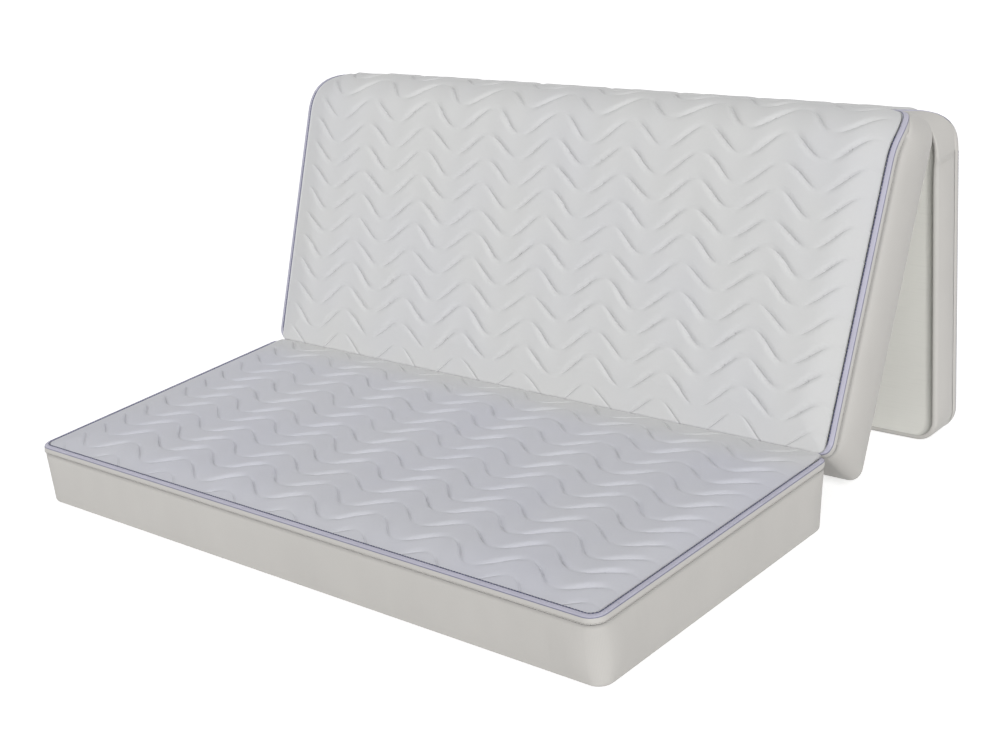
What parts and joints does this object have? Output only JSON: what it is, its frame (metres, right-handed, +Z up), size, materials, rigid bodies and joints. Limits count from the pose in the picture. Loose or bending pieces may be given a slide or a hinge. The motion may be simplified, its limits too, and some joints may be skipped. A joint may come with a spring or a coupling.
{
  "type": "folding mattress",
  "caption": "Folding quilted foam mattress with hinged panels, set up as a low seat with a leaning back and a supporting rear panel.",
  "frame": {"origin": "on the floor, under the middle of the width and of the whole depth, set up as a seat", "axes": "+X across the mattress, to the right of someone facing its front; +Y from the seat's front edge to the rear panel; +Z up"},
  "size_m": [1.4472, 1.0782, 0.6426],
  "materials": {
    "quilted_cloth": "matte",
    "border_cloth": "matte",
    "binding_tape": "satin",
    "underside_cloth": "matte",
    "foam": "matte",
    "wadding": "matte",
    "thread": "satin"
  },
  "bodies": {
    "seat_panel": {"seat_underside": "underside_cloth", "seat_border": "border_cloth", "seat_foam_core": "foam", "seat_comfort_layer": "wadding", "seat_quilt": "quilted_cloth", "seat_tape": "binding_tape", "seat_stitching_inner": "thread", "seat_stitching_outer": "thread"},
    "back_panel": {"back_underside": "underside_cloth", "back_border": "border_cloth", "back_foam_core": "foam", "back_comfort_layer": "wadding", "back_quilt": "quilted_cloth", "back_tape": "binding_tape", "back_stitching_left_inner": "thread", "back_stitching_left_outer": "thread", "back_stitching_right_inner": "thread", "back_stitching_right_outer": "thread"},
    "rear_panel": {"rear_underside": "underside_cloth", "rear_border": "border_cloth", "rear_foam_core": "foam", "rear_comfort_layer": "wadding", "rear_quilt": "quilted_cloth", "rear_tape": "binding_tape", "rear_stitching_inner": "thread", "rear_stitching_outer": "thread"}
  },
  "joints": [
    {"name": "seat_back_fold", "type": "hinge", "parent": "seat_panel", "child": "back_panel", "pos_m": [0, 0.09741, 0.12], "axis": [1, 0, 0], "range_deg": [-66, 95]},
    {"name": "back_rear_fold", "type": "hinge", "parent": "back_panel", "child": "rear_panel", "pos_m": [0, 0.45108, 0.61932], "axis": [1, 0, 0], "range_deg": [-22, 156]}
  ]
}
